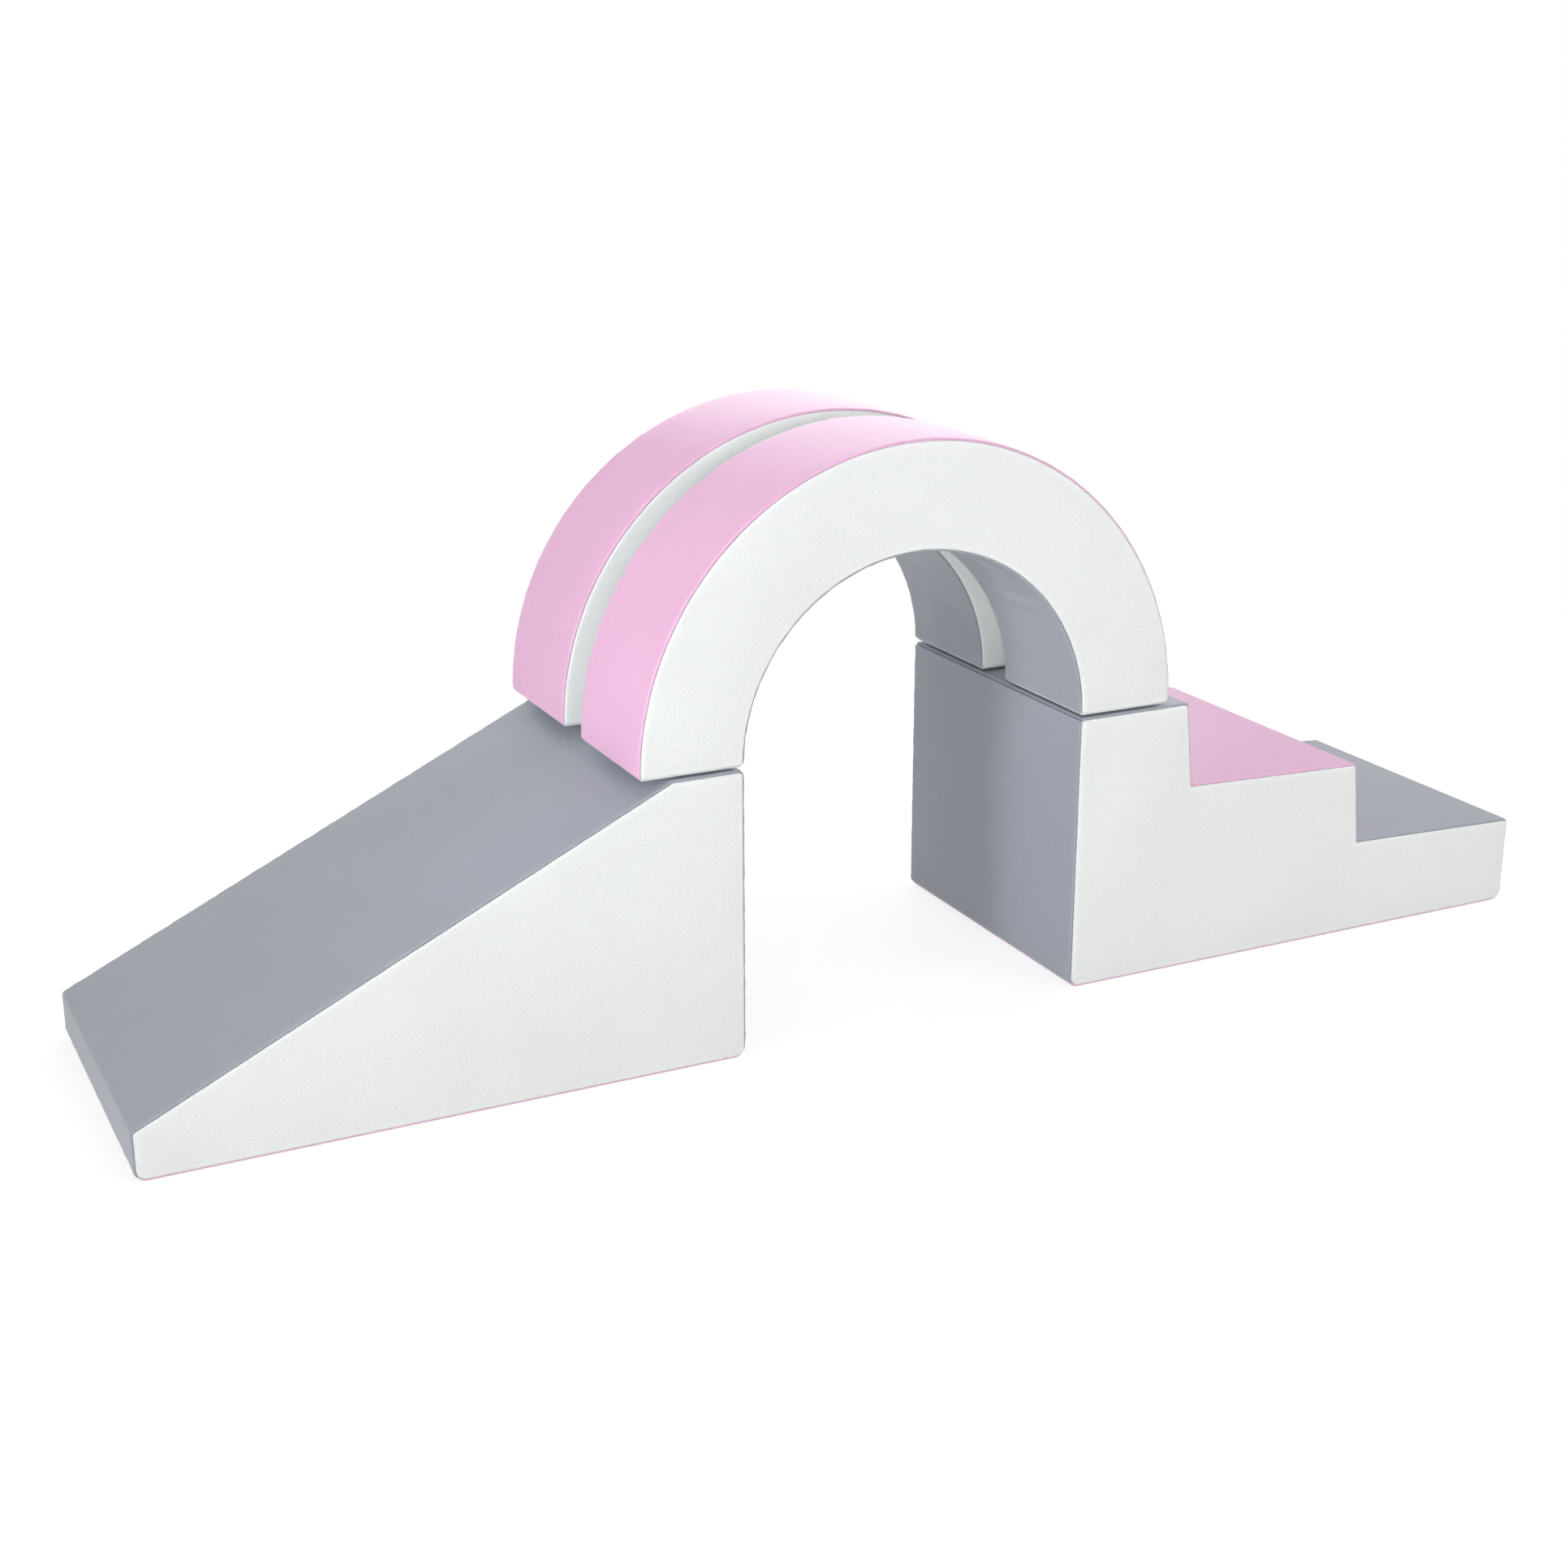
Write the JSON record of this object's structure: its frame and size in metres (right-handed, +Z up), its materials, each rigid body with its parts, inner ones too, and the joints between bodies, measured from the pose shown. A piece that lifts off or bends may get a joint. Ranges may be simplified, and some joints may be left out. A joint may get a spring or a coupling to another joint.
{
  "type": "foam play block set",
  "caption": "Soft foam play set: a slide block and a stairs block bridged by half-ring arches, with a crawl-through tunnel under them.",
  "frame": {"origin": "on the floor, midway between the two base blocks and midway through their depth", "axes": "+X from the slide towards the stairs, +Y to the back, +Z up"},
  "size_m": [1.58, 0.35, 0.6025],
  "materials": {
    "white_leatherette": "satin",
    "grey_leatherette": "satin",
    "pink_leatherette": "satin",
    "foam": "matte",
    "hook_and_loop": "matte",
    "zip_tape": "matte",
    "zip_coil": "satin",
    "zip_metal": "satin"
  },
  "bodies": {
    "slide_block": {"slide_foam_core": "foam", "slide_front_panel": "white_leatherette", "slide_rear_panel": "white_leatherette", "slide_base_panel": "pink_leatherette", "slide_tunnel_end_panel": "grey_leatherette", "slide_chute_panel": "grey_leatherette", "slide_zip_tape": "zip_tape", "slide_zip_coil": "zip_coil", "slide_front_loop_pad": "hook_and_loop", "slide_rear_loop_pad": "hook_and_loop"},
    "slide_zip_runner": {"slide_zip_slider": "zip_metal"},
    "slide_pull_tab": {"slide_zip_pull": "zip_metal"},
    "stairs_block": {"stairs_foam_core": "foam", "stairs_front_panel": "white_leatherette", "stairs_rear_panel": "white_leatherette", "stairs_base_panel": "pink_leatherette", "stairs_tunnel_end_panel": "grey_leatherette", "stairs_top_step_panel": "grey_leatherette", "stairs_middle_step_panel": "pink_leatherette", "stairs_low_step_panel": "grey_leatherette", "stairs_zip_tape": "zip_tape", "stairs_zip_coil": "zip_coil", "stairs_front_loop_pad": "hook_and_loop", "stairs_rear_loop_pad": "hook_and_loop"},
    "stairs_zip_runner": {"stairs_zip_slider": "zip_metal"},
    "stairs_pull_tab": {"stairs_zip_pull": "zip_metal"},
    "front_arch": {"front_arch_foam_core": "foam", "front_arch_front_panel": "white_leatherette", "front_arch_rear_panel": "white_leatherette", "front_arch_outer_panel": "pink_leatherette", "front_arch_inner_panel": "grey_leatherette", "front_arch_left_foot_panel": "white_leatherette", "front_arch_right_foot_panel": "white_leatherette", "front_arch_left_hook_pad": "hook_and_loop", "front_arch_right_hook_pad": "hook_and_loop", "front_arch_zip_tape": "zip_tape", "front_arch_zip_coil": "zip_coil"},
    "front_arch_zip_runner": {"front_arch_zip_slider": "zip_metal"},
    "front_arch_pull_tab": {"front_arch_zip_pull": "zip_metal"},
    "rear_arch": {"rear_arch_foam_core": "foam", "rear_arch_front_panel": "white_leatherette", "rear_arch_rear_panel": "white_leatherette", "rear_arch_outer_panel": "pink_leatherette", "rear_arch_inner_panel": "grey_leatherette", "rear_arch_left_foot_panel": "white_leatherette", "rear_arch_right_foot_panel": "white_leatherette", "rear_arch_left_hook_pad": "hook_and_loop", "rear_arch_right_hook_pad": "hook_and_loop", "rear_arch_zip_tape": "zip_tape", "rear_arch_zip_coil": "zip_coil"},
    "rear_arch_zip_runner": {"rear_arch_zip_slider": "zip_metal"},
    "rear_arch_pull_tab": {"rear_arch_zip_pull": "zip_metal"}
  },
  "joints": [
    {"name": "stairs_draw_away", "type": "slide", "parent": "slide_block", "child": "stairs_block", "axis": [1, 0, 0], "range_m": [0, 0.05]},
    {"name": "front_arch_lift", "type": "slide", "parent": "slide_block", "child": "front_arch", "axis": [0, 0, 1], "range_m": [0, 0.35]},
    {"name": "rear_arch_lift", "type": "slide", "parent": "slide_block", "child": "rear_arch", "axis": [0, 0, 1], "range_m": [0, 0.35]},
    {"name": "slide_zip_open", "type": "slide", "parent": "slide_block", "child": "slide_zip_runner", "axis": [-1, 0, 0], "range_m": [0, 0.43]},
    {"name": "stairs_zip_open", "type": "slide", "parent": "stairs_block", "child": "stairs_zip_runner", "axis": [1, 0, 0], "range_m": [0, 0.43]},
    {"name": "front_arch_zip_open", "type": "hinge", "parent": "front_arch", "child": "front_arch_zip_runner", "pos_m": [0, -0.099, 0.3027], "axis": [0, 1, 0], "range_deg": [0, 60]},
    {"name": "rear_arch_zip_open", "type": "hinge", "parent": "rear_arch", "child": "rear_arch_zip_runner", "pos_m": [0, 0.099, 0.3027], "axis": [0, 1, 0], "range_deg": [0, 60]},
    {"name": "slide_pull_swing", "type": "hinge", "parent": "slide_zip_runner", "child": "slide_pull_tab", "pos_m": [-0.284, 0, 0.00325], "axis": [0, 1, 0], "range_deg": [0, 150]},
    {"name": "stairs_pull_swing", "type": "hinge", "parent": "stairs_zip_runner", "child": "stairs_pull_tab", "pos_m": [0.284, 0, 0.00325], "axis": [0, -1, 0], "range_deg": [0, 150]},
    {"name": "front_arch_pull_swing", "type": "hinge", "parent": "front_arch_zip_runner", "child": "front_arch_pull_tab", "pos_m": [-0.18762, -0.099, 0.34903], "axis": [0, -1, 0], "range_deg": [-12, 130]},
    {"name": "rear_arch_pull_swing", "type": "hinge", "parent": "rear_arch_zip_runner", "child": "rear_arch_pull_tab", "pos_m": [-0.18762, 0.099, 0.34903], "axis": [0, -1, 0], "range_deg": [-12, 130]}
  ]
}
